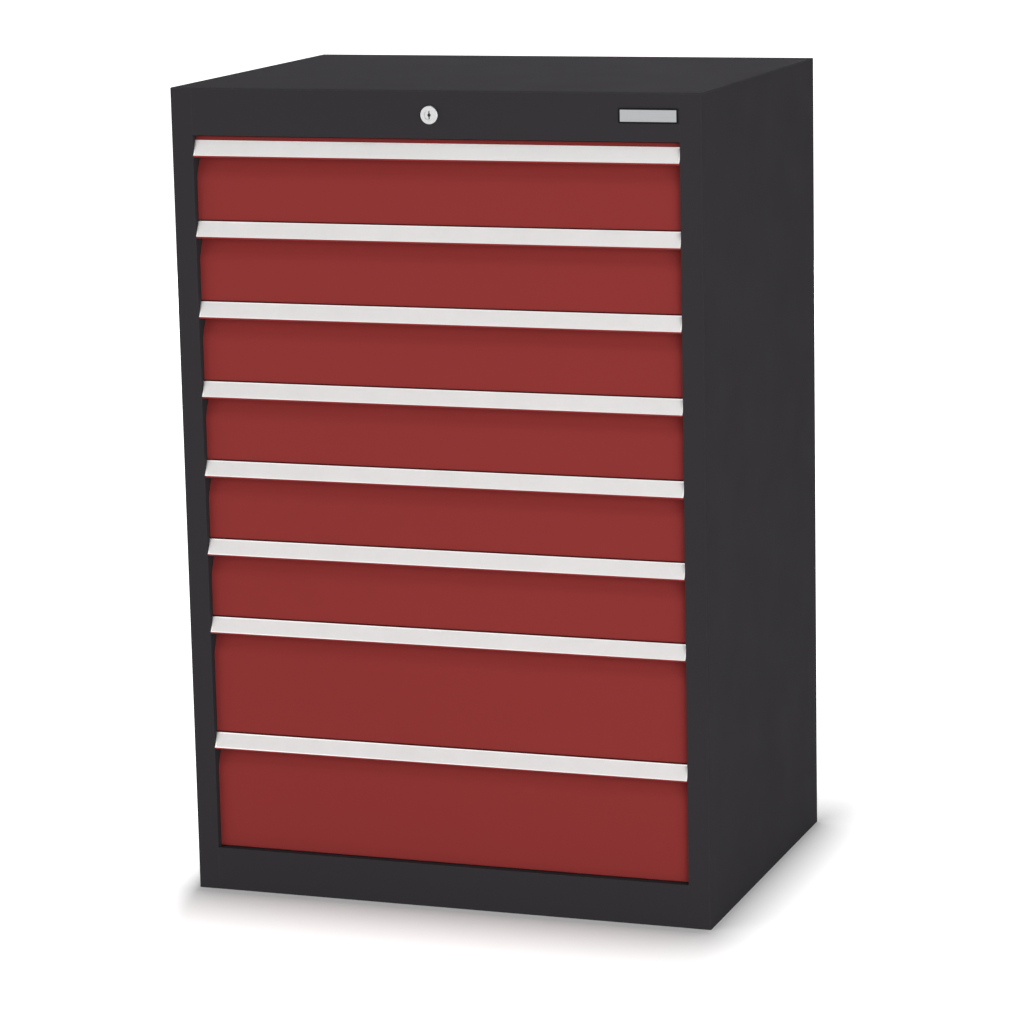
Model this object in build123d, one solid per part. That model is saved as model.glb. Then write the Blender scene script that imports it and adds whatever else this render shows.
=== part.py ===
from build123d import *
import math
import os

# Drawer cabinet of folded steel sheet. Sizes are in millimetres.
# X runs to the right as seen from the front, Y to the back and Z up. The origin is on the floor,
# under the middle of the box that holds the whole cabinet.
# A depth is counted backwards from the front plane of the posts, and is negative in front of it.

# Body
width = 680.0
depth = 500.0
sheet = 1.5
post_width = 28.0
post_return = 25.5
corner_radius = 2.0
seam_radius = 0.3
top_edge_radius = 1.0
plinth_height = 59.5
plinth_drop = 5.0
top_rail_height = 58.3
seat_gap = 0.5
floor_overlap = 14.0

# Drawers, from the top one down
drawer_heights = [100.0, 100.0, 100.0, 100.0, 100.0, 100.0, 150.0, 150.0]
top_drawer_gap = 1.2

# Drawer fronts
side_gap = 0.5
face_depth = 8.5
hang_below = 4.2
top_flange_drop = 5.4
first_flange_drop = 0.2
fold_radius = 1.8
lip_radius = 0.8
recess_depth = 11.0
recess_height = 24.2
recess_foot_radius = 30.0
front_box_depth = 34.0
bottom_return = 12.0
rear_return = 22.0
end_cap = 1.5

# Grip strips
grip_proud = 1.0
grip_bottom_drop = 23.4
grip_top_drop = 5.0
grip_lean = 7.5
grip_thickness = 1.5
grip_rim = 1.2
grip_groove = 0.5
lip_below_grip = 2.0

# Drawer trays
tray_back_gap = 26.0
tray_lift = 4.0
tray_headroom = 12.0
hem = 8.0

# Telescopic runners
runner_height = 45.0
runner_centre = 42.0
runner_wall = 1.5
runner_space = 13.0
runner_play = 0.6
runner_setback = 12.0
runner_back_gap = 14.0
slider_inset = 3.0
slider_reach = 8.0
drawer_rail_reach = 7.5
rail_reach = 10.0

# Slotted uprights and base skids
upright_length = 30.0
upright_top_gap = 7.5
slot_pitch = 25.0
slot_width = 4.0
slot_height = 14.0
skid_width = 40.0
skid_wall = 2.0

# Lock
lock_lift = -0.35
collar_radius = 11.0
collar_proud = 4.0
collar_bevel = 0.8
housing_radius = 9.0
housing_length = 20.0
hole_clearance = 0.15
core_radius = 6.0
core_clearance = 0.05
core_recess = 0.8
key_eye_radius = 2.1
key_slit_width = 1.4
key_slit_height = 10.0
key_depth = 14.0
nut_flats = 24.0
nut_thickness = 4.5
cam_thickness = 2.5
cam_end_radius = 5.0
cam_throw = 8.0
cam_pin_radius = 2.0
pin_overrun = 1.25

# Cross rod of the lock, and its guides
rod_thickness = 3.0
rod_gap = 2.0
rod_below = 1.0
rod_above = 15.0
rod_tail = 16.0
rod_plate_width = 36.0
pin_play = 0.5
guide_thickness = 2.0
guide_play = 0.4
guide_margin = 4.0
guide_shares = [0.19, 0.74]

# Lock bar, its catches, and the hooks on the trays
bar_thickness = 3.0
bar_width = 12.0
bar_play = 0.4
bar_tail = 12.0
catch_setback = 5.0
catch_thickness = 3.0
catch_height = 8.0
catch_bottom = 64.0
catch_inset = 9.0
link_pin_radius = 2.5
link_pin_inset = 10.0
link_drop = 2.0
link_margin = 9.0
lug_height = 14.0
lug_margin = 5.0
hook_thickness = 6.0
hook_gap = 2.0
hook_lift = 3.0
hook_inset = 2.0

# Badge plate and back screws
badge_width = 72.0
badge_height = 16.5
badge_proud = 1.2
badge_edge_gap = 2.0
badge_lift = 1.65
badge_radius = 0.5
screw_head_radius = 4.5
screw_radius = 2.5
screw_clearance = 0.2
screw_length = 12.0
screw_rows = 8
screw_margin = 25.0

# Worked out from the sizes above
front_y = (collar_proud - depth) / 2
opening_half = width / 2 - post_width
skin_inside = width / 2 - sheet
front_half = opening_half - side_gap
drawers_top = plinth_height + sum(drawer_heights)
opening_top = drawers_top + top_drawer_gap
height = opening_top + top_rail_height
body_top = height - sheet
plinth_top = plinth_height - plinth_drop
floor_top = plinth_top - sheet
floor_start = post_return + seat_gap
rail_flange = post_return - seat_gap
tray_half = opening_half - runner_space
tray_start = front_box_depth
tray_back = depth - tray_back_gap
runner_start = tray_start + runner_setback
runner_back = depth - runner_back_gap
rail_middle = opening_top + top_rail_height / 2
lock_height = rail_middle + lock_lift
cam_offset = cam_throw * math.sin(math.radians(45))
lock_travel = 2 * cam_offset
rod_depth = post_return + pin_overrun + seat_gap
cam_depth = rod_depth - rod_gap - cam_thickness
catch_depth = max(front_box_depth, rod_depth + rod_thickness) + catch_setback
hook_depth = catch_depth + catch_thickness + hook_gap
bar_inside = opening_half + sheet + bar_play
bar_outside = bar_inside + bar_thickness
upright_depth = catch_depth + bar_width + bar_play
link_x = -(opening_half - link_pin_inset)
link_z = lock_height - link_drop
drawer_count = len(drawer_heights)
drawer_floors = [drawers_top - sum(drawer_heights[: n + 1]) for n in range(drawer_count)]
sides = (-1, 1)


def block(x_limits, depth_limits, z_limits):
    """Solid box between two limits each way; its place from front to back is given as depths."""
    (x0, x1), (d0, d1), (z0, z1) = sorted(x_limits), sorted(depth_limits), sorted(z_limits)
    centre = ((x0 + x1) / 2, front_y + (d0 + d1) / 2, (z0 + z1) / 2)
    return Pos(*centre) * Box(x1 - x0, d1 - d0, z1 - z0)


def round_bar(radius, x, z, depth_limits):
    """Solid cylinder that runs from front to back."""
    d0, d1 = depth_limits
    circle = Plane((x, front_y + d0, z), x_dir=(1, 0, 0), z_dir=(0, 1, 0)) * Circle(radius)
    return extrude(circle, d1 - d0)


def tapered_bar(front_radius, back_radius, x, z, depth_limits):
    """Solid cone that runs from front to back."""
    d0, d1 = depth_limits
    start = Plane((x, front_y + d0, z), x_dir=(1, 0, 0), z_dir=(0, 1, 0))
    cone = Cone(front_radius, back_radius, d1 - d0, align=(Align.CENTER, Align.CENTER, Align.MIN))
    return start * cone


def rounded_line(points, radii):
    """Edges along the points, with an arc of the given radius at each inner corner; 0 keeps it sharp."""
    here = points[0]
    edges = []
    for corner, after, radius in zip(points[1:-1], points[2:], radii):
        arriving = (corner - here).normalized()
        leaving = (after - corner).normalized()
        half_turn = math.radians(arriving.get_angle(leaving)) / 2
        if radius > 0:
            setback = radius * math.tan(half_turn)
            start = corner - arriving * setback
            end = corner + leaving * setback
            inward = (leaving - arriving).normalized()
            middle = corner + inward * radius * (1 / math.cos(half_turn) - 1)
            edges += [Line(here, start), ThreePointArc(start, middle, end)]
            here = end
        else:
            edges.append(Line(here, corner))
            here = corner
    edges.append(Line(here, points[-1]))
    return edges


def fold_radii(line, radii, thickness):
    """Radius of each fold on the given face of the sheet, and on its other face."""
    steps = [b - a for a, b in zip(line, line[1:])]
    turns_left = [a.cross(b).Z > 0 for a, b in zip(steps, steps[1:])]
    inner = [max(radius - thickness, 0) for radius in radii]
    near = [out if left else inside for out, inside, left in zip(radii, inner, turns_left)]
    far = [inside if left else out for out, inside, left in zip(radii, inner, turns_left)]
    return near, far


def folded_section(points, radii, thickness=sheet):
    """Section of a folded sheet. The points are one face of it and the sheet lies on their left.
    The radii are those of the outside of each fold."""
    line = [Vector(*point) for point in points]
    steps = [(b - a).normalized() for a, b in zip(line, line[1:])]
    lefts = [Vector(-step.Y, step.X) for step in steps]
    other = [line[0] + lefts[0] * thickness]
    for corner, before, after in zip(line[1:-1], lefts, lefts[1:]):
        other.append(corner + (before + after) * (thickness / (1 + before.dot(after))))
    other.append(line[-1] + lefts[-1] * thickness)
    near, far = fold_radii(line, radii, thickness)
    ends = [Line(line[0], other[0]), Line(line[-1], other[-1])]
    return make_face(rounded_line(line, near) + rounded_line(other, far) + ends)


def closed_section(points, radii, thickness=sheet):
    """Plate inside the same line as a folded section, closed straight from its end to its start."""
    line = [Vector(*point) for point in points]
    near, _ = fold_radii(line, radii, thickness)
    return make_face(rounded_line(line, near) + [Line(line[-1], line[0])])


def along_x(section, x_limits, floor=0):
    """Extrudes a section drawn in depth and height along X."""
    x0, x1 = x_limits
    placed = Plane((x0, front_y, floor), x_dir=(0, 1, 0), z_dir=(1, 0, 0)) * section
    return extrude(placed, x1 - x0)


def along_y(section, depth_limits, centre_z=0):
    """Extrudes a section drawn in X and height from front to back."""
    d0, d1 = depth_limits
    placed = Plane((0, front_y + d0, centre_z), x_dir=(1, 0, 0), z_dir=(0, -1, 0)) * section
    return extrude(placed, d0 - d1)


def along_z(section, z_limits):
    """Extrudes a section drawn in X and depth upwards."""
    z0, z1 = z_limits
    return extrude(Pos(0, front_y, z0) * section, z1 - z0)


def mirrored(shape, side):
    """The shape as made for the right side, or its mirror image on the left."""
    return shape if side > 0 else mirror(shape, about=Plane.YZ)


def side_panel(side):
    """Outer skin, folded round into the front post and its return."""
    points = [
        (opening_half, post_return),
        (opening_half, 0),
        (width / 2, 0),
        (width / 2, depth),
    ]
    section = folded_section(points, [seam_radius, corner_radius])
    return mirrored(along_z(section, (0, body_top)), side)


def top_panel():
    panel = block((-width / 2, width / 2), (0, depth), (body_top, height))
    panel = fillet(panel.edges().filter_by(Axis.Z).group_by(Axis.Y)[0], corner_radius)
    return fillet(panel.faces().sort_by(Axis.Z)[-1].edges(), top_edge_radius)


def back_screw_places():
    """X and Z of every screw along the two sides of the back panel."""
    x = (opening_half + sheet + skin_inside) / 2
    lowest, highest = floor_top + screw_margin, body_top - screw_margin
    step = (highest - lowest) / (screw_rows - 1)
    return [(side * x, lowest + row * step) for side in sides for row in range(screw_rows)]


def screw_head(x, z):
    """Countersunk head, flush with the outside of the back panel."""
    return tapered_bar(screw_head_radius - sheet, screw_head_radius, x, z, (depth - sheet, depth))


def back_panel():
    panel = block((-skin_inside, skin_inside), (depth - sheet, depth), (0, body_top))
    return panel - [screw_head(x, z) for x, z in back_screw_places()]


def back_screws():
    screws = []
    for x, z in back_screw_places():
        shank = round_bar(screw_radius, x, z, (depth - sheet - screw_length, depth - sheet))
        screws.append(screw_head(x, z) + shank)
    return Compound(screws)


def floor_panel():
    return block((-skin_inside, skin_inside), (floor_start, depth - sheet), (floor_top - sheet, floor_top))


def base_skids():
    """Two channels from front to back under the floor panel, open towards each other."""
    skids = []
    top = floor_top - sheet
    for side in sides:
        x_outside, x_inside = side * skin_inside, side * (skin_inside - skid_width)
        lengthwise = (floor_start, depth - sheet)
        whole = block((x_outside, x_inside), lengthwise, (0, top))
        hollow_start = x_outside - side * skid_wall
        whole -= block((hollow_start, x_inside), lengthwise, (skid_wall, top - skid_wall))
        skids.append(whole)
    return Compound(skids)


def plinth_rail():
    """Rail under the lowest drawer, with a flange on the ground and one over the floor panel."""
    points = [
        (floor_start + floor_overlap, plinth_top),
        (0, plinth_top),
        (0, 0),
        (rail_flange, 0),
    ]
    section = folded_section(points, [seam_radius, seam_radius])
    return along_x(section, (-opening_half, opening_half))


def top_front_rail():
    """Rail over the drawers with the lock hole, and two guides behind it for the cross rod."""
    points = [
        (0, body_top),
        (0, opening_top),
        (rail_flange, opening_top),
    ]
    rail = along_x(folded_section(points, [seam_radius]), (-opening_half, opening_half))
    rail -= round_bar(housing_radius + hole_clearance, 0, lock_height, (-sheet, 2 * sheet))
    rod_low, rod_high = lock_height - rod_below, lock_height + rod_above
    rod_back = rod_depth + rod_thickness
    for share in guide_shares:
        x = -share * opening_half
        guide_x = (x - guide_thickness / 2, x + guide_thickness / 2)
        heights = (rod_low - guide_margin, rod_high + guide_margin)
        guide = block(guide_x, (sheet, rod_back + guide_margin), heights)
        window_depths = (rod_depth - guide_play, rod_back + guide_play)
        guide -= block(guide_x, window_depths, (rod_low - guide_play, rod_high + guide_play))
        rail += guide
    return rail


def upright(side, start):
    """Channel with slots, open towards the outer skin, which it is welded to."""
    end = start + upright_length
    points = [
        (skin_inside, end),
        (opening_half, end),
        (opening_half, start),
        (skin_inside, start),
    ]
    bottom, top = floor_top, body_top - upright_top_gap
    post = along_z(folded_section(points, [corner_radius, corner_radius]), (bottom, top))
    middle = (start + end) / 2
    slots = []
    for n in range(1, int((top - bottom) / slot_pitch)):
        z = bottom + n * slot_pitch
        depths = (middle - slot_width / 2, middle + slot_width / 2)
        heights = (z - slot_height / 2, z + slot_height / 2)
        slots.append(block((opening_half - sheet, opening_half + 2 * sheet), depths, heights))
    post -= slots
    if start > depth / 2:
        x = (opening_half + sheet + skin_inside) / 2
        for _, z in back_screw_places():
            post -= round_bar(screw_radius + screw_clearance, x, z, (end - 2 * sheet, end + sheet))
    return mirrored(post, side)


def uprights():
    starts = (upright_depth, depth - sheet - upright_length)
    return Compound([upright(side, start) for side in sides for start in starts])


def channel(x_web, x_lips, half_height, depth_limits, centre_z):
    """Runner member: an upright web with a lip at its top and bottom that points to x_lips."""
    inward = 1 if x_lips > x_web else -1
    whole = Pos((x_web + x_lips) / 2, 0) * Rectangle(abs(x_lips - x_web), 2 * half_height)
    x_hollow = x_web + inward * runner_wall
    hollow_middle = (x_hollow + x_lips) / 2
    hollow = Pos(hollow_middle, 0) * Rectangle(abs(x_lips - x_hollow), 2 * (half_height - runner_wall))
    return along_y(whole - hollow, depth_limits, centre_z)


def cabinet_rails():
    """The rails of all the drawers, each fixed to the two uprights of its side."""
    lengthwise = (runner_start, runner_back)
    web, lips = opening_half, opening_half - rail_reach
    rails = [
        channel(side * web, side * lips, runner_height / 2, lengthwise, floor + runner_centre)
        for side in sides
        for floor in drawer_floors
    ]
    return Compound(rails)


def sliders(floor):
    """The middle members of one drawer's two runners."""
    lengthwise = (runner_start, runner_back)
    half_height = runner_height / 2 - runner_wall - runner_play
    web, lips = opening_half - slider_inset, opening_half - slider_inset - slider_reach
    pair = [
        channel(side * web, side * lips, half_height, lengthwise, floor + runner_centre)
        for side in sides
    ]
    return Compound(pair)


def drawer_rails(floor):
    """The inner members of one drawer's two runners, fixed to its tray."""
    lengthwise = (runner_start, tray_back)
    half_height = runner_height / 2 - 2 * (runner_wall + runner_play)
    web, lips = tray_half, tray_half + drawer_rail_reach
    pair = [
        channel(side * web, side * lips, half_height, lengthwise, floor + runner_centre)
        for side in sides
    ]
    return Compound(pair)


def tray_side(side, bottom, top):
    """Side sheet from front to back, with a hem folded inwards along its top."""
    points = [
        (tray_half, bottom),
        (tray_half, top),
        (tray_half - hem, top),
    ]
    return mirrored(along_y(folded_section(points, [fold_radius]), (tray_start, tray_back)), side)


def tray_back_sheet(bottom, top):
    """Back sheet between the side sheets, with a hem that stops at theirs."""
    points = [
        (tray_back, bottom),
        (tray_back, top),
        (tray_back - hem, top),
    ]
    inside, mouth = tray_half - sheet, tray_half - hem
    back = along_x(folded_section(points, [fold_radius]), (-inside, inside))
    for side in sides:
        back -= block((side * mouth, side * inside), (tray_back - hem, tray_back), (top - sheet, top))
    return back


def tray(floor, module):
    """Sheets welded into an open box, and the lock's hook on the left one."""
    bottom, top = floor + tray_lift, floor + module - tray_headroom
    inside = tray_half - sheet
    floor_sheet = block((-inside, inside), (tray_start + sheet, tray_back - sheet), (bottom, bottom + sheet))
    front_sheet = block((-inside, inside), (tray_start, tray_start + sheet), (bottom, top - sheet))
    hook_bottom = floor + catch_bottom + catch_height + hook_lift
    hook_depths = (hook_depth, hook_depth + hook_thickness)
    hook_x = (-tray_half, -(opening_half - hook_inset))
    hook = block(hook_x, hook_depths, (hook_bottom, hook_bottom + catch_height))
    side_sheets = [tray_side(side, bottom, top) for side in sides]
    return Compound([floor_sheet, front_sheet, tray_back_sheet(bottom, top), hook] + side_sheets)


def grip_line(module):
    """Foot of the grip strip on its seat, the way up along it and the way out of it, in depth and height."""
    rise = grip_bottom_drop - grip_top_drop
    up = Vector(grip_lean, rise).normalized()
    outward = Vector(-up.Y, up.X)
    foot = Vector(-grip_proud, module - grip_bottom_drop) - outward * grip_thickness
    return foot, up, outward, math.hypot(grip_lean, rise)


def drawer_front(floor, module, flange_drop):
    """One folded sheet: bottom flange, face, finger recess, lip, seat for the grip strip and top flange."""
    foot, up, _, _ = grip_line(module)
    top = module - flange_drop
    seat_top = foot + up * ((top - foot.Y) / up.Y)
    lip = foot - up * lip_below_grip
    recess_back = face_depth + recess_depth
    points = [
        (front_box_depth, top - rear_return),
        (front_box_depth, top),
        (seat_top.X, seat_top.Y),
        (lip.X, lip.Y),
        (recess_back, lip.Y),
        (face_depth, lip.Y - recess_height),
        (face_depth, -hang_below),
        (front_box_depth, -hang_below),
        (front_box_depth, bottom_return),
    ]
    radii = [
        fold_radius,
        fold_radius,
        lip_radius,
        fold_radius,
        recess_foot_radius,
        fold_radius,
        fold_radius,
    ]
    front = along_x(folded_section(points, radii), (-front_half, front_half), floor)
    cap = along_x(closed_section(points, radii), (front_half - end_cap, front_half), floor)
    return front + cap + mirrored(cap, -1)


def grip(floor, module):
    """Aluminium strip on the sloped seat, with a raised rim along both edges round a shallow groove."""
    foot, up, outward, length = grip_line(module)
    groove = grip_thickness - grip_groove
    steps = [
        (0, 0),
        (length, 0),
        (length, grip_thickness),
        (length - grip_rim, grip_thickness),
        (length - grip_rim, groove),
        (grip_rim, groove),
        (grip_rim, grip_thickness),
        (0, grip_thickness),
    ]
    corners = [foot + up * s + outward * n for s, n in steps]
    section = make_face(Polyline(*corners, close=True))
    return along_x(section, (-front_half, front_half), floor)


def lock_housing():
    """Threaded sleeve through the top rail, with a round collar in front of it."""
    collar = round_bar(collar_radius, 0, lock_height, (-collar_proud, 0))
    collar = fillet(collar.edges().filter_by(GeomType.CIRCLE).group_by(Axis.Y)[0], collar_bevel)
    sleeve = round_bar(housing_radius, 0, lock_height, (0, housing_length))
    bore = round_bar(core_radius + core_clearance, 0, lock_height, (-collar_proud, housing_length))
    return collar + sleeve - bore


def lock_nut():
    hexagon = RegularPolygon(nut_flats / 2, 6, major_radius=False)
    face = Plane((0, front_y + sheet, lock_height), x_dir=(1, 0, 0), z_dir=(0, 1, 0))
    nut = extrude(face * hexagon, nut_thickness)
    return nut - round_bar(housing_radius + core_clearance, 0, lock_height, (0, housing_length))


def lock_barrel():
    """Turning core, with the key slot in its face."""
    face = core_recess - collar_proud
    core = round_bar(core_radius, 0, lock_height, (face, cam_depth))
    core -= round_bar(key_eye_radius, 0, lock_height, (face, face + key_depth))
    slit_x = (-key_slit_width / 2, key_slit_width / 2)
    slit_z = (lock_height - key_slit_height / 2, lock_height + key_slit_height / 2)
    return core - block(slit_x, (face, face + key_depth), slit_z)


def lock_cam():
    """Lever on the end of the core; at rest its pin is up and to the right of the core."""
    depths = (cam_depth, cam_depth + cam_thickness)
    pin_x, pin_z = cam_offset, lock_height + cam_offset
    hub = round_bar(cam_end_radius, 0, lock_height, depths)
    tip = round_bar(cam_end_radius, pin_x, pin_z, depths)
    middle = (cam_offset / 2, front_y + cam_depth, lock_height + cam_offset / 2)
    web_face = Plane(middle, x_dir=(1, 0, 1), z_dir=(0, 1, 0)) * Rectangle(cam_throw, 2 * cam_end_radius)
    pin = round_bar(cam_pin_radius, pin_x, pin_z, (depths[1], rod_depth + rod_thickness + pin_overrun))
    return hub + tip + extrude(web_face, cam_thickness) + pin


def lock_rod():
    """Flat rod with an upright slot for the cam's pin and a sloping slot for the bar's pin."""
    depths = (rod_depth, rod_depth + rod_thickness)
    plate_left = link_x - link_margin - link_pin_radius
    rod = block((plate_left, rod_tail), depths, (lock_height - rod_below, lock_height + rod_above))
    plate_heights = (link_z - link_margin, link_z + lock_travel + link_margin)
    rod += block((plate_left, plate_left + rod_plate_width), depths, plate_heights)
    slot_half = cam_pin_radius + pin_play
    slot_z = (lock_height + cam_offset - slot_half, lock_height + cam_throw + slot_half)
    rod -= block((cam_offset - slot_half, cam_offset + slot_half), depths, slot_z)
    slope_radius = link_pin_radius + pin_play / 2
    for step in (0, lock_travel):
        rod -= round_bar(slope_radius, link_x + step, link_z + step, depths)
    middle = (link_x + lock_travel / 2, front_y + rod_depth, link_z + lock_travel / 2)
    slope = Rectangle(lock_travel * math.sqrt(2), 2 * slope_radius)
    return rod - extrude(Plane(middle, x_dir=(1, 0, 1), z_dir=(0, 1, 0)) * slope, rod_thickness)


def lock_bar():
    """Upright bar behind the left post."""
    bottom = drawer_floors[-1] + catch_bottom - bar_tail
    heights = (bottom, link_z + lug_height / 2)
    return block((-bar_outside, -bar_inside), (catch_depth, catch_depth + bar_width), heights)


def lock_catches():
    """One catch for each drawer, on the inner face of the lock bar; a tray's hook passes over it at rest."""
    catches = []
    for floor in drawer_floors:
        heights = (floor + catch_bottom, floor + catch_bottom + catch_height)
        depths = (catch_depth, catch_depth + catch_thickness)
        catches.append(block((-bar_inside, -(opening_half - catch_inset)), depths, heights))
    return Compound(catches)


def lock_lug():
    """Lug at the top of the lock bar, with the pin that the rod lifts."""
    depths = (catch_depth, catch_depth + catch_thickness)
    heights = (link_z - lug_height / 2, link_z + lug_height / 2)
    lug = block((-bar_inside, link_x + lug_margin), depths, heights)
    return lug + round_bar(link_pin_radius, link_x, link_z, (rod_depth - pin_overrun, catch_depth))


def badge_plate():
    """Plain plate near the right end of the top rail."""
    right = opening_half - badge_edge_gap
    bottom = rail_middle + badge_lift - badge_height / 2
    plate = block((right - badge_width, right), (-badge_proud, 0), (bottom, bottom + badge_height))
    return fillet(plate.faces().sort_by(Axis.Y)[0].edges(), badge_radius)


def cabinet_parts():
    return {
        "left_side_panel": side_panel(-1),
        "right_side_panel": side_panel(1),
        "top_panel": top_panel(),
        "back_panel": back_panel(),
        "back_screws": back_screws(),
        "floor_panel": floor_panel(),
        "base_skids": base_skids(),
        "plinth_rail": plinth_rail(),
        "top_front_rail": top_front_rail(),
        "badge_plate": badge_plate(),
        "uprights": uprights(),
        "cabinet_rails": cabinet_rails(),
        "lock_housing": lock_housing(),
        "lock_nut": lock_nut(),
        "lock_barrel": lock_barrel(),
        "lock_cam": lock_cam(),
        "lock_rod": lock_rod(),
        "lock_bar": lock_bar(),
        "lock_catches": lock_catches(),
        "lock_lug": lock_lug(),
    }


def drawer_parts():
    parts = {}
    for n, (floor, module) in enumerate(zip(drawer_floors, drawer_heights), start=1):
        # nothing hangs over the first front, so its seat goes on up to the top rail
        flange_drop = first_flange_drop if n == 1 else top_flange_drop
        parts[f"drawer_{n}_front"] = drawer_front(floor, module, flange_drop)
        parts[f"drawer_{n}_grip"] = grip(floor, module)
        parts[f"drawer_{n}_tray"] = tray(floor, module)
        parts[f"drawer_{n}_rails"] = drawer_rails(floor)
        parts[f"drawer_{n}_sliders"] = sliders(floor)
    return parts


os.makedirs("parts", exist_ok=True)
for name, shape in {**cabinet_parts(), **drawer_parts()}.items():
    export_step(shape, f"parts/{name}.step")
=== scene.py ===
import math

import bpy
import numpy as np
from mathutils import Matrix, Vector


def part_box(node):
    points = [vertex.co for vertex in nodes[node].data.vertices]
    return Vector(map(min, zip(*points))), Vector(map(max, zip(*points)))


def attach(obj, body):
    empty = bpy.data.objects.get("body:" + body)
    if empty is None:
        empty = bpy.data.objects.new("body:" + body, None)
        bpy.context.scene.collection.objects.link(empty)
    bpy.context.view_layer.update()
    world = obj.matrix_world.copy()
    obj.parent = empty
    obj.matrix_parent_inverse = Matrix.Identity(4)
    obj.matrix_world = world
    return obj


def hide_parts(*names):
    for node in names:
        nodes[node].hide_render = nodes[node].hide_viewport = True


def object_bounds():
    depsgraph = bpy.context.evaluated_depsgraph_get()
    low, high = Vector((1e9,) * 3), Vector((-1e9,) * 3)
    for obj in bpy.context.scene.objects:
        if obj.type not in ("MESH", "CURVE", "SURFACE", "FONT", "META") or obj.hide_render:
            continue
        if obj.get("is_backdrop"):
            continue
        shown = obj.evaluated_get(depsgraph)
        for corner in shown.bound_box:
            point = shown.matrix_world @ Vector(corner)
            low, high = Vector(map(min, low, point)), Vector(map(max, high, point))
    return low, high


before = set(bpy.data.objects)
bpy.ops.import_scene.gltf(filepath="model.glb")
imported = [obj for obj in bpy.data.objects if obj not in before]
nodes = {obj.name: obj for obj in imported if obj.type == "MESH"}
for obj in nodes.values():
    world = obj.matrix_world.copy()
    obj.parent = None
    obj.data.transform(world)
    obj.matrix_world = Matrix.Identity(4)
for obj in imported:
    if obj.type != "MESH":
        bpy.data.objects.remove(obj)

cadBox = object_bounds()
drawerNumbers = sorted(int(name.split("_")[1]) for name in nodes if name.endswith("_grip"))
print("frame:", len(nodes), "nodes,", len(drawerNumbers), "drawers")


def paintColour(red, green, blue):
    # a colour as a picture editor shows it, 0 to 255, turned into the linear values that shaders take
    shown = np.array([red, green, blue]) / 255.0
    linear = np.where(shown <= 0.04045, shown / 12.92, ((shown + 0.055) / 1.055) ** 2.4)
    return (*linear.tolist(), 1.0)


def shadeGroup(name, inputs, outputs):
    # an empty node group; inputs are (label, socket kind, default) and outputs are (label, socket kind)
    group = bpy.data.node_groups.new(name, "ShaderNodeTree")
    for label, kind, value in inputs:
        socket = group.interface.new_socket(label, in_out="INPUT", socket_type="NodeSocket" + kind)
        socket.default_value = value
    for label, kind in outputs:
        group.interface.new_socket(label, in_out="OUTPUT", socket_type="NodeSocket" + kind)
    return group, group.nodes.new("NodeGroupInput"), group.nodes.new("NodeGroupOutput")


def setSocket(tree, socket, value):
    # a socket's value links it, and a plain value is set on it
    if isinstance(value, bpy.types.NodeSocket):
        tree.links.new(value, socket)
    else:
        socket.default_value = value


def addNode(tree, kind, settings=None, **values):
    # settings are the node's own properties; values go to its inputs by label, or by number as i0, i1, i2
    node = tree.nodes.new("ShaderNode" + kind)
    for key, value in (settings or {}).items():
        setattr(node, key, value)
    for key, value in values.items():
        numbered = key[0] == "i" and key[1:].isdigit()
        setSocket(tree, node.inputs[int(key[1:]) if numbered else key.replace("_", " ")], value)
    return node


def maths(tree, operation, first, second=0.0, clamp=False):
    return addNode(tree, "Math", {"operation": operation, "use_clamp": clamp}, i0=first, i1=second).outputs[0]


def vectorMaths(tree, operation, first, second):
    return addNode(tree, "VectorMath", {"operation": operation}, i0=first, i1=second)


def scaled(tree, colour, factor):
    return addNode(tree, "VectorMath", {"operation": "SCALE"}, i0=colour, Scale=factor).outputs[0]


def spread(tree, value, start, end):
    # carries a value from the range start to the range end and holds it there
    return addNode(tree, "MapRange", None, Value=value, From_Min=start[0], From_Max=start[1],
                   To_Min=end[0], To_Max=end[1]).outputs[0]


def mixColours(tree, share, first, second):
    node = addNode(tree, "Mix", {"data_type": "RGBA"}, i0=share, i6=first, i7=second)
    return node.outputs[2]


def speckle(tree, place, scale, detail, roughness=0.5):
    node = addNode(tree, "TexNoise", None, Vector=place, Scale=scale, Detail=detail, Roughness=roughness)
    return node.outputs[0]


coatPattern = {
    "driftScale": 2.6,              # slow changes of tone over a whole panel
    "smudgeScale": 14.0,
    "scuffScale": 90.0,             # breaks up the paler edges, rubbed wear with a painted highlight
    "bevelSamples": 4,
    "turnedRange": (0.995, 0.80),   # how far the rounded normal leaves the true one, from no wear and highlight to full
    "patchiness": (0.15, 1.0),
    "grainSwing": (-0.035, 0.035),
    "upward": (0.6, 1.0),           # a normal's Z, from bare to dusty
    "dustColour": (0.30, 0.29, 0.28, 1),
    "roughSwing": (-0.05, 0.06),
    "rubbedRoughness": -0.08,
    "peelShare": 0.75,              # of the relief; the rest is grain
}


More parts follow.
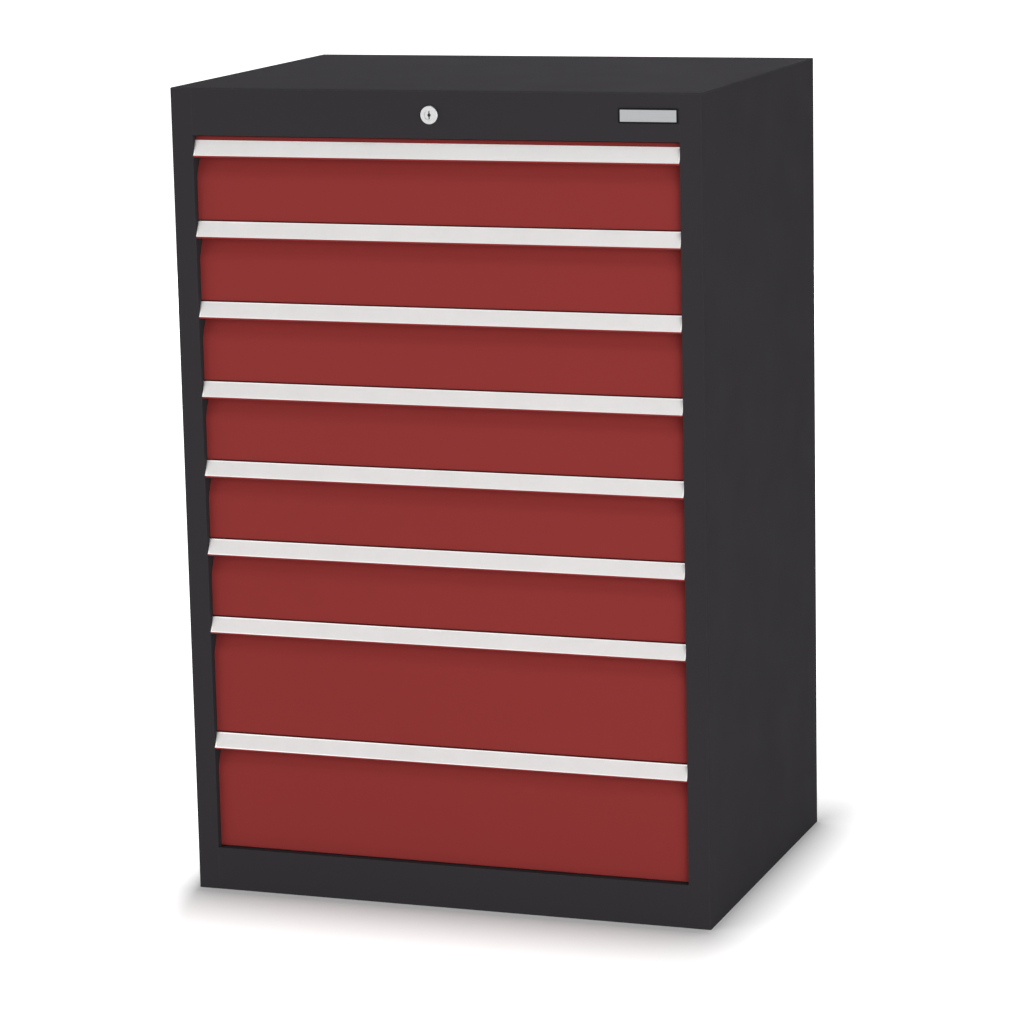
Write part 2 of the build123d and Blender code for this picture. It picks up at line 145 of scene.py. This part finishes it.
def makePowderCoat():
    # baked powder paint: a soft orange peel, a fine grain over it, slow drifts of tone, and paler edges that are
    # partly rubbed wear and partly a painted highlight
    group, entry, result = shadeGroup(
        "powderCoat",
        [("Colour", "Color", (0.5, 0.5, 0.5, 1)), ("Rubbed And Highlit Colour", "Color", (0.6, 0.6, 0.6, 1)),
         ("Peel Scale", "Float", 420.0), ("Grain Scale", "Float", 1900.0), ("Drift", "Float", 0.06),
         ("Edge Wear And Highlight", "Float", 0.4), ("Edge Width", "Float", 0.0012), ("Dust", "Float", 0.1),
         ("Roughness", "Float", 0.45)],
        [("Color", "Color"), ("Roughness", "Float"), ("Height", "Float")])
    pattern = coatPattern
    given = entry.outputs
    place = addNode(group, "TexCoord").outputs["Object"]
    peel = speckle(group, place, given["Peel Scale"], 1.0)
    grain = speckle(group, place, given["Grain Scale"], 2.0, 0.6)
    drift = speckle(group, place, pattern["driftScale"], 3.0, 0.55)
    smudge = speckle(group, place, pattern["smudgeScale"], 4.0, 0.6)
    scuff = speckle(group, place, pattern["scuffScale"], 3.0, 0.7)

    # paler edges, partly rubbed wear and partly a painted highlight along every edge
    rounded = addNode(group, "Bevel", {"samples": pattern["bevelSamples"]}, Radius=given["Edge Width"]).outputs[0]
    surface = addNode(group, "NewGeometry")
    turned = vectorMaths(group, "DOT_PRODUCT", rounded, surface.outputs["Normal"]).outputs["Value"]
    edge = spread(group, turned, pattern["turnedRange"], (0.0, 1.0))
    patchy = spread(group, scuff, (0.38, 0.62), pattern["patchiness"])
    wearAndHighlight = maths(group, "MULTIPLY", maths(group, "MULTIPLY", edge, patchy), given["Edge Wear And Highlight"], True)

    drifted = maths(group, "MULTIPLY", maths(group, "SUBTRACT", drift, 0.5), given["Drift"])
    grained = spread(group, grain, (0.3, 0.7), pattern["grainSwing"])
    tone = maths(group, "ADD", maths(group, "ADD", drifted, 1.0), grained)
    wornAndHighlit = mixColours(group, wearAndHighlight, scaled(group, given["Colour"], tone), given["Rubbed And Highlit Colour"])
    facing = addNode(group, "SeparateXYZ", None, Vector=surface.outputs["Normal"]).outputs["Z"]
    lying = maths(group, "MULTIPLY", spread(group, facing, pattern["upward"], (0.0, 1.0)),
                  spread(group, smudge, (0.35, 0.7), (0.1, 1.0)))
    dust = maths(group, "MULTIPLY", lying, given["Dust"], True)
    group.links.new(mixColours(group, dust, wornAndHighlit, pattern["dustColour"]), result.inputs["Color"])

    smudged = maths(group, "ADD", given["Roughness"], spread(group, smudge, (0.3, 0.7), pattern["roughSwing"]))
    rough = maths(group, "ADD", smudged, maths(group, "MULTIPLY", wearAndHighlight, pattern["rubbedRoughness"]), True)
    group.links.new(rough, result.inputs["Roughness"])
    height = maths(group, "ADD", maths(group, "MULTIPLY", peel, pattern["peelShare"]),
                   maths(group, "MULTIPLY", grain, 1 - pattern["peelShare"]))
    group.links.new(height, result.inputs["Height"])
    return group


grainPattern = {
    "stainScale": 22.0,
    "fineScale": 1500.0,
    "roughSwing": (-0.06, 0.06),
    "lineShare": 0.8,         # of the relief; the rest is fine noise
}


def makeDrawnGrain():
    # lines of a brushed, drawn or rolled metal: noise stretched along one direction
    group, entry, result = shadeGroup(
        "drawnGrain",
        [("Colour", "Color", (0.8, 0.8, 0.8, 1)), ("Stretch", "Vector", (6.0, 900.0, 900.0)),
         ("Depth", "Float", 0.06), ("Stain", "Float", 0.05), ("Roughness", "Float", 0.3)],
        [("Color", "Color"), ("Roughness", "Float"), ("Height", "Float")])
    pattern = grainPattern
    given = entry.outputs
    place = addNode(group, "TexCoord").outputs["Object"]
    lines = speckle(group, vectorMaths(group, "MULTIPLY", place, given["Stretch"]).outputs[0], 1.0, 4.0, 0.65)
    broad = speckle(group, place, pattern["stainScale"], 3.0, 0.6)
    fine = speckle(group, place, pattern["fineScale"], 1.0)

    lift = maths(group, "MULTIPLY", spread(group, lines, (0.25, 0.75), (-1.0, 1.0)), given["Depth"])
    stain = maths(group, "MULTIPLY", spread(group, broad, (0.3, 0.7), (-1.0, 1.0)), given["Stain"])
    tone = maths(group, "ADD", maths(group, "ADD", lift, stain), 1.0)
    group.links.new(scaled(group, given["Colour"], tone), result.inputs["Color"])
    swing = spread(group, lines, (0.3, 0.7), pattern["roughSwing"])
    group.links.new(maths(group, "ADD", given["Roughness"], swing, True), result.inputs["Roughness"])
    height = maths(group, "ADD", maths(group, "MULTIPLY", lines, pattern["lineShare"]),
                   maths(group, "MULTIPLY", fine, 1 - pattern["lineShare"]))
    group.links.new(height, result.inputs["Height"])
    return group


powderCoat = makePowderCoat()
drawnGrain = makeDrawnGrain()
print("shading groups made")


def finishMaterial(name, group, values, shine):
    # a material around one group: colour, roughness and relief come from it, fixed shine goes on the shader
    material = bpy.data.materials.new(name)
    material.use_nodes = True
    tree = material.node_tree
    tree.nodes.clear()
    output = tree.nodes.new("ShaderNodeOutputMaterial")
    shader = tree.nodes.new("ShaderNodeBsdfPrincipled")
    tree.links.new(shader.outputs[0], output.inputs["Surface"])
    pattern = tree.nodes.new("ShaderNodeGroup")
    pattern.node_tree = group
    for label, value in values.items():
        pattern.inputs[label].default_value = value
    tree.links.new(pattern.outputs["Color"], shader.inputs["Base Color"])
    tree.links.new(pattern.outputs["Roughness"], shader.inputs["Roughness"])
    relief = addNode(tree, "Bump", None, Height=pattern.outputs["Height"],
                     Strength=shine["reliefStrength"], Distance=shine["reliefDepth"])
    tree.links.new(relief.outputs[0], shader.inputs["Normal"])
    shader.inputs["Metallic"].default_value = shine["metallic"]
    shader.inputs["Specular IOR Level"].default_value = shine["specular"]
    return material


bodyPaint = {
    "Colour": paintColour(56, 54, 57),
    "Rubbed And Highlit Colour": paintColour(92, 90, 92),
    "Peel Scale": 380.0,
    "Edge Wear And Highlight": 0.30,
    "Dust": 0.012,
    "Roughness": 0.78,
}
frontPaint = {
    "Colour": paintColour(146, 56, 54),
    "Rubbed And Highlit Colour": paintColour(166, 92, 86),
    "Peel Scale": 420.0,
    "Edge Wear And Highlight": 0.2,
    "Dust": 0.012,
    "Roughness": 0.7,
}
trayPaint = {
    "Colour": paintColour(58, 56, 59),
    "Rubbed And Highlit Colour": paintColour(120, 118, 118),
    "Peel Scale": 320.0,
    "Edge Wear And Highlight": 0.55,
    "Dust": 0.08,
    "Roughness": 0.5,
}
gripMetal = {
    "Colour": paintColour(234, 232, 231),
    "Stretch": (5.0, 1100.0, 1100.0),
    "Depth": 0.03,
    "Stain": 0.025,
    "Roughness": 0.42,
}
labelFace = {
    "Colour": paintColour(238, 236, 235),
    "Stretch": (160.0, 160.0, 160.0),
    "Depth": 0.012,
    "Stain": 0.02,
    "Roughness": 0.42,
}
runnerZinc = {
    "Colour": paintColour(154, 156, 160),
    "Stretch": (900.0, 7.0, 900.0),
    "Depth": 0.07,
    "Stain": 0.09,
    "Roughness": 0.34,
}
lockZinc = {
    "Colour": paintColour(166, 167, 170),
    "Stretch": (300.0, 300.0, 40.0),
    "Depth": 0.05,
    "Stain": 0.09,
    "Roughness": 0.36,
}
lockNickel = {
    "Colour": paintColour(180, 180, 181),
    "Stretch": (500.0, 500.0, 500.0),
    "Depth": 0.03,
    "Stain": 0.02,
    "Roughness": 0.34,
}
badgeMetal = {
    "Colour": paintColour(157, 158, 160),
    "Stretch": (9.0, 1400.0, 1400.0),
    "Depth": 0.05,
    "Stain": 0.02,
    "Roughness": 0.34,
}
# dark finish of the frame round the badge plate: a painted shadow line at the plate's edge
badgeShadowLine = {
    "Colour": paintColour(30, 29, 33),
    "Stretch": (700.0, 700.0, 700.0),
    "Depth": 0.05,
    "Stain": 0.05,
    "Roughness": 0.45,
}
paintShine = {"metallic": 0.0, "specular": 0.01, "reliefStrength": 0.25, "reliefDepth": 0.00012}
metalShine = {"metallic": 1.0, "specular": 0.5, "reliefStrength": 0.12, "reliefDepth": 0.00004}
plasticShine = {"metallic": 0.0, "specular": 0.4, "reliefStrength": 0.05, "reliefDepth": 0.00003}
shadowLineShine = {"metallic": 0.0, "specular": 0.02, "reliefStrength": 0.15, "reliefDepth": 0.00003}

finishes = {
    "body": finishMaterial("bodyPaint", powderCoat, bodyPaint, paintShine),
    "front": finishMaterial("frontPaint", powderCoat, frontPaint, paintShine),
    "tray": finishMaterial("trayPaint", powderCoat, trayPaint, paintShine),
    "grip": finishMaterial("gripAluminium", drawnGrain, gripMetal, metalShine),
    "label": finishMaterial("labelFace", drawnGrain, labelFace, plasticShine),
    "runner": finishMaterial("runnerZinc", drawnGrain, runnerZinc, metalShine),
    "lockSteel": finishMaterial("lockZinc", drawnGrain, lockZinc, metalShine),
    "lock": finishMaterial("lockNickel", drawnGrain, lockNickel, metalShine),
    "badge": finishMaterial("badgeMetal", drawnGrain, badgeMetal, metalShine),
    "edgeShadow": finishMaterial("badgeShadowLine", drawnGrain, badgeShadowLine, shadowLineShine),
}

nodeFinish = {
    "top_panel": "body", "left_side_panel": "body", "right_side_panel": "body", "back_panel": "body",
    "floor_panel": "body", "base_skids": "body", "plinth_rail": "body", "top_front_rail": "body",
    "uprights": "body", "cabinet_rails": "runner", "back_screws": "lockSteel", "badge_plate": "badge",
    "lock_housing": "lock", "lock_barrel": "lock", "lock_nut": "lockSteel", "lock_cam": "lockSteel",
    "lock_rod": "lockSteel", "lock_bar": "lockSteel", "lock_catches": "lockSteel", "lock_lug": "lockSteel",
}
drawerFinish = {"front": "front", "grip": "grip", "tray": "tray", "rails": "runner", "sliders": "runner"}
for number in drawerNumbers:
    for part, finish in drawerFinish.items():
        nodeFinish[f"drawer_{number}_{part}"] = finish

for name, shown in nodes.items():
    shown.data.materials.clear()
    shown.data.materials.append(finishes[nodeFinish[name]])
print("finishes:", len(finishes), "on", len(nodeFinish), "nodes")


def ringMesh(name, rings, material, closedPath=False):
    # rings is copies x stations x points x 3. Neighbouring rings of a copy are joined by quads, and an open path
    # gets a flat face at each end
    copies, stations, count, _ = rings.shape
    first = np.arange(stations if closedPath else stations - 1)[:, None] * count
    second = (first + count) % (stations * count)
    here = np.arange(count)[None, :]
    after = (here + 1) % count
    quads = np.stack([first + here, first + after, second + after, second + here], -1).reshape(1, -1, 4)
    starts = np.arange(copies)[:, None, None] * stations * count
    faces = (quads + starts).reshape(-1, 4).tolist()
    if not closedPath:
        ends = np.stack([np.arange(count)[::-1], (stations - 1) * count + np.arange(count)])
        faces += (ends[None] + starts).reshape(-1, count).tolist()
    mesh = bpy.data.meshes.new(name)
    mesh.from_pydata(rings.reshape(-1, 3).tolist(), [], faces)
    mesh.materials.append(material)
    mesh.validate()
    piece = bpy.data.objects.new(name, mesh)
    bpy.context.scene.collection.objects.link(piece)
    return piece


def superellipse(turn, halfWidth, halfHeight, squareness):
    # half width times cos, and half height times sin, each to the power 2/n with its sign kept
    power = 2 / squareness
    return (halfWidth * np.sign(np.cos(turn)) * np.abs(np.cos(turn)) ** power,
            halfHeight * np.sign(np.sin(turn)) * np.abs(np.sin(turn)) ** power)


labelStrip = {
    "slopeOut": 0.0075,       # how far the grip's face leans out, and how far it rises
    "slopeUp": 0.0184,
    "gripSheet": 0.0015,      # the grip's thickness
    "grooveFloor": 0.0010,    # of the grip's groove, above its back
    "rim": 0.0012,            # beside the groove
    "edgeGap": 0.00012,       # from the strip's long edges to the rims
    "endGap": 0.0015,         # from the strip's end to the grip's end
    "thickness": 0.00036,
    "squareness": 5.0,        # higher makes the rounded edges tighter
    "endShrink": 0.02,
    "endPower": 24,           # higher keeps the shrinking nearer to the ends
    "ringPoints": 28,
    "stations": 24,
}


def makeLabel(number):
    # section: a superellipse, its width across the groove and its thickness out of it. It is carried along X from
    # end to end, closer together at the ends, and shrinks a little in the last millimetre
    low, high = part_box(f"drawer_{number}_grip")
    size = labelStrip
    length = math.hypot(size["slopeOut"], size["slopeUp"])
    slope = np.array([0.0, size["slopeOut"], size["slopeUp"]]) / length
    outward = np.array([0.0, -slope[2], slope[1]])
    foot = np.array([0.0, low.y + size["gripSheet"] * slope[2], low.z])      # lower back corner of the grip's section
    middle = foot + slope * length / 2 + outward * (size["grooveFloor"] + size["thickness"] / 2)
    turn = np.linspace(0, 2 * math.pi, size["ringPoints"], endpoint=False)
    across, out = superellipse(turn, length / 2 - size["rim"] - size["edgeGap"], size["thickness"] / 2,
                               size["squareness"])
    section = slope * across[:, None] + outward * out[:, None]
    share = np.linspace(-1, 1, size["stations"])
    along = (high.x - size["endGap"]) * np.sin(share * math.pi / 2)
    shrink = 1 - size["endShrink"] * np.abs(share) ** size["endPower"]
    rings = middle + along[:, None, None] * np.array([1.0, 0.0, 0.0]) + shrink[:, None, None] * section
    return ringMesh(f"drawer_{number}_label", rings[None], finishes["label"])


for number in drawerNumbers:
    label = makeLabel(number)
    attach(label, f"drawer_{number}")
print("labels made")


badgeBorder = {
    "inset": 0.0003,       # from the plate's edge in to the frame's middle
    "frameWidth": 0.0022,
    "frameRise": 0.0015,     # from the rail's face, a little more than the plate's thickness
    "squareness": 4.0,       # higher makes the frame's rounding tighter
    "cornerRadius": 0.0006,
    "cornerSteps": 8,
    "profilePoints": 11,
}


def makeBadgeBorder():
    # a dark frame that paints the shadow line at the plate's edge. Path: a rectangle with quarter circles at its
    # corners, round the plate's edge. Profile: half a superellipse whose flat side lies on the rail
    low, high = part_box("badge_plate")
    size = badgeBorder
    radius, inset, steps = size["cornerRadius"], size["inset"], size["cornerSteps"]
    halfX = (high.x - low.x) / 2 - inset - radius
    halfZ = (high.z - low.z) / 2 - inset - radius
    angles = (np.arange(4)[:, None] * math.pi / 2 + np.linspace(0, math.pi / 2, steps)).reshape(-1, 1)
    cornerX = np.repeat([1, -1, -1, 1], steps)[:, None]
    cornerZ = np.repeat([1, 1, -1, -1], steps)[:, None]
    turn = np.linspace(math.pi, 0, size["profilePoints"])
    wide, rise = superellipse(turn, size["frameWidth"] / 2, size["frameRise"], size["squareness"])
    rings = np.stack([
        (low.x + high.x) / 2 + cornerX * halfX + np.cos(angles) * (radius + wide),
        np.broadcast_to(high.y - rise, (len(angles), len(turn))),
        (low.z + high.z) / 2 + cornerZ * halfZ + np.sin(angles) * (radius + wide),
    ], -1)
    return ringMesh("badge_border", rings[None], finishes["edgeShadow"], closedPath=True)


border = makeBadgeBorder()
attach(border, "cabinet")
print("badge border made")


backScrews = {
    "rows": 8,
    "headRadius": 0.0045,
    "headDepth": 0.0015,
    "neckRadius": 0.0030,
    "shankRadius": 0.0025,
    "length": 0.0135,
    "innerRadius": 0.0001,    # of the smallest ring of the head's face
    "faceRings": 22,
    "around": 64,
    "armLength": 0.0027,      # of the pressed cross, from the head's middle
    "armHalfWidth": 0.00055,
    "crossDepth": 0.0009,
    "wallWidth": 0.0002,      # over which the cross's walls slope
}


def makeScrews():
    # rings round each screw's axis: growing ones over the head's face, then the cone under it and the shank.
    # A point of the face is pressed in where it is near one of the cross's two lines and not past their ends
    size = backScrews
    low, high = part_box("back_screws")
    faceRadii = np.linspace(size["innerRadius"], size["headRadius"], size["faceRings"])
    radii = np.concatenate([faceRadii, [size["neckRadius"], size["shankRadius"], size["shankRadius"]]])
    turn = np.linspace(0, 2 * math.pi, size["around"], endpoint=False)
    aside, above = radii[:, None] * np.cos(turn), radii[:, None] * np.sin(turn)
    near, far = np.minimum(np.abs(aside), np.abs(above)), np.maximum(np.abs(aside), np.abs(above))
    narrow = np.clip((size["armHalfWidth"] - near) / size["wallWidth"], 0, 1)
    short = np.clip((size["armLength"] - far) / size["wallWidth"], 0, 1)
    sunk = size["crossDepth"] * narrow * short
    sunk[size["faceRings"]:] = np.array([size["headDepth"], size["headDepth"], size["length"]])[:, None]
    columns = np.array([low.x, high.x]) + np.array([1, -1]) * size["headRadius"]
    rows = np.linspace(low.z + size["headRadius"], high.z - size["headRadius"], size["rows"])
    middleX, middleZ = (grid.reshape(-1, 1, 1) for grid in np.meshgrid(columns, rows))
    depth = np.broadcast_to(high.y - sunk, (len(middleX), *sunk.shape))
    rings = np.stack([middleX + aside, depth, middleZ + above], -1)
    return ringMesh("screw_heads", rings, finishes["lockSteel"])


screws = makeScrews()
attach(screws, "cabinet")
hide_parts("back_screws")
print("back screws made")


stageLook = {
    "floorColour": 0.88,
    "glowInPaintedShadow": 0.06,       # glow that the camera sees on the floor beside the cabinet, besides what falls on it; held this low, it paints a shadow round the foot
    "farLift": 1.0,          # the same further away, where the floor turns white
    "liftStart": 0.01,       # metres from the cabinet's foot, where the painted shadow starts to fade
    "liftEnd": 0.33,
    "liftPower": 0.75,       # below 1 it brightens sooner on the way
    "towardsRight": 2.5,     # how much sooner the painted shadow turns white to the right than in front
    "towardsLeft": 5.5,
    "leftLean": 0.32,        # how far the painted shadow's left edge draws in for each metre ahead of the cabinet
    "ambient": 0.36,         # how bright the surroundings are for what they light
    "floorHalf": 30.0,
}


def seenDirectly(tree):
    # 1 where the camera, a reflection or glass looks, 0 for the light that falls on things
    path = tree.nodes.new("ShaderNodeLightPath")
    seen = maths(tree, "MAXIMUM", path.outputs["Is Camera Ray"], path.outputs["Is Glossy Ray"])
    return maths(tree, "MAXIMUM", seen, path.outputs["Is Transmission Ray"])


def makeFloor():
    # a pale floor that the camera sees turn white away from the cabinet's foot, a rectangle round the origin. Its
    # glow for the camera stays low near the foot, a painted shadow laid over the real one from the lamps. The
    # distance from the foot is the root of the squares of how far a point lies beside it and ahead of it
    half = stageLook["floorHalf"]
    mesh = bpy.data.meshes.new("floor")
    mesh.from_pydata([(-half, -half, 0), (half, -half, 0), (half, half, 0), (-half, half, 0)], [], [(0, 1, 2, 3)])
    floor = bpy.data.objects.new("floor", mesh)
    bpy.context.scene.collection.objects.link(floor)
    material = bpy.data.materials.new("paleFloor")
    material.use_nodes = True
    tree = material.node_tree
    tree.nodes.clear()
    output = tree.nodes.new("ShaderNodeOutputMaterial")
    tone = stageLook["floorColour"]
    matte = addNode(tree, "BsdfDiffuse", None, Color=(tone, tone, tone, 1))
    place = addNode(tree, "SeparateXYZ", None, Vector=addNode(tree, "TexCoord").outputs["Object"]).outputs
    ahead = maths(tree, "MAXIMUM", maths(tree, "SUBTRACT", maths(tree, "ABSOLUTE", place["Y"]), cadBox[1][1]))
    right = maths(tree, "MULTIPLY", maths(tree, "SUBTRACT", place["X"], cadBox[1][0]), stageLook["towardsRight"])
    left = maths(tree, "ADD", maths(tree, "SUBTRACT", cadBox[0][0], place["X"]),
                 maths(tree, "MULTIPLY", ahead, stageLook["leftLean"]))
    left = maths(tree, "MULTIPLY", left, stageLook["towardsLeft"])
    beside = maths(tree, "MAXIMUM", maths(tree, "MAXIMUM", right, left))
    away = maths(tree, "SQRT", maths(tree, "ADD", maths(tree, "MULTIPLY", beside, beside),
                                     maths(tree, "MULTIPLY", ahead, ahead)))
    share = spread(tree, away, (stageLook["liftStart"], stageLook["liftEnd"]), (0.0, 1.0))
    shine = spread(tree, maths(tree, "POWER", share, stageLook["liftPower"]), (0.0, 1.0),
                   (stageLook["glowInPaintedShadow"], stageLook["farLift"]))
    # glow only for the camera, low near the foot: a painted shadow round the cabinet
    strength = maths(tree, "MULTIPLY", seenDirectly(tree), shine)
    lift = addNode(tree, "Emission", None, Color=(1, 1, 1, 1), Strength=strength)
    both = addNode(tree, "AddShader", None, i0=matte.outputs[0], i1=lift.outputs[0])
    tree.links.new(both.outputs[0], output.inputs["Surface"])
    mesh.materials.append(material)
    floor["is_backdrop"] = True


def makeWorld():
    # white where it is looked at, dimmer as a light on the object
    world = bpy.data.worlds.new("studio")
    bpy.context.scene.world = world
    world.use_nodes = True
    tree = world.node_tree
    tree.nodes.clear()
    output = tree.nodes.new("ShaderNodeOutputWorld")
    strength = spread(tree, seenDirectly(tree), (0.0, 1.0), (stageLook["ambient"], 1.0))
    background = addNode(tree, "Background", None, Color=(1, 1, 1, 1), Strength=strength)
    tree.links.new(background.outputs[0], output.inputs["Surface"])


lamps = {
    "overhead": {"place": (0.0, 0.7, 8.0), "aim": (0.0, 0.0, 0.0), "size": 1.8, "watts": 145.0},
    "frontRight": {"place": (3.6, -4.2, 0.8), "aim": (0.0, 0.0, 0.4), "size": 4.0, "watts": 172.0},
    "left": {"place": (-4.0, -3.6, 0.8), "aim": (0.0, 0.0, 0.4), "size": 4.0, "watts": 80.0},
    "back": {"place": (-1.6, 5.6, 0.4), "aim": (0.0, 0.0, 0.4), "size": 2.4, "watts": 78.0},
}


def pointAt(place, back, roll=0.0):
    # a frame at place whose Z is back and whose Y is up, turned by roll about the line of sight
    back = np.array(back, float) / np.linalg.norm(back)
    right = np.cross([0, 0, 1.0], back)
    right = right / np.linalg.norm(right)
    up = np.cross(back, right)
    right, up = math.cos(roll) * right - math.sin(roll) * up, math.sin(roll) * right + math.cos(roll) * up
    frameOf = Matrix(np.column_stack([right, up, back]).tolist()).to_4x4()
    frameOf.translation = place
    return frameOf


def makeLamps():
    for name, lamp in lamps.items():
        data = bpy.data.lights.new(name, "AREA")
        data.shape = "DISK"
        data.size = lamp["size"]
        data.energy = lamp["watts"]
        holder = bpy.data.objects.new(name, data)
        bpy.context.scene.collection.objects.link(holder)
        holder.matrix_world = pointAt(lamp["place"], np.subtract(lamp["place"], lamp["aim"]))


viewpoint = {
    "azimuth": 19.617,
    "elevation": 11.261,
    "roll": 1.205,
    "place": (1.63636, -4.57617, 1.42343),
    "lens": 135.61,
    "sensor": 36.0,
    "clip": (0.1, 100.0),
}


def makeCamera():
    data = bpy.data.cameras.new("camera")
    data.sensor_width = viewpoint["sensor"]
    data.lens = viewpoint["lens"]
    data.clip_start, data.clip_end = viewpoint["clip"]
    camera = bpy.data.objects.new("camera", data)
    bpy.context.scene.collection.objects.link(camera)
    turn, tilt = math.radians(viewpoint["azimuth"]), math.radians(viewpoint["elevation"])
    back = (math.sin(turn) * math.cos(tilt), -math.cos(turn) * math.cos(tilt), math.sin(tilt))
    camera.matrix_world = pointAt(viewpoint["place"], back, math.radians(viewpoint["roll"]))
    bpy.context.scene.camera = camera


makeFloor()
makeWorld()
makeLamps()
makeCamera()
bpy.context.scene.view_settings.view_transform = "Standard"
print("stage, lamps and camera made")

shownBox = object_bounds()
for label, box in (("cad size", cadBox), ("shown size", shownBox)):
    print(label, [round(high - low, 4) for low, high in zip(*box)])
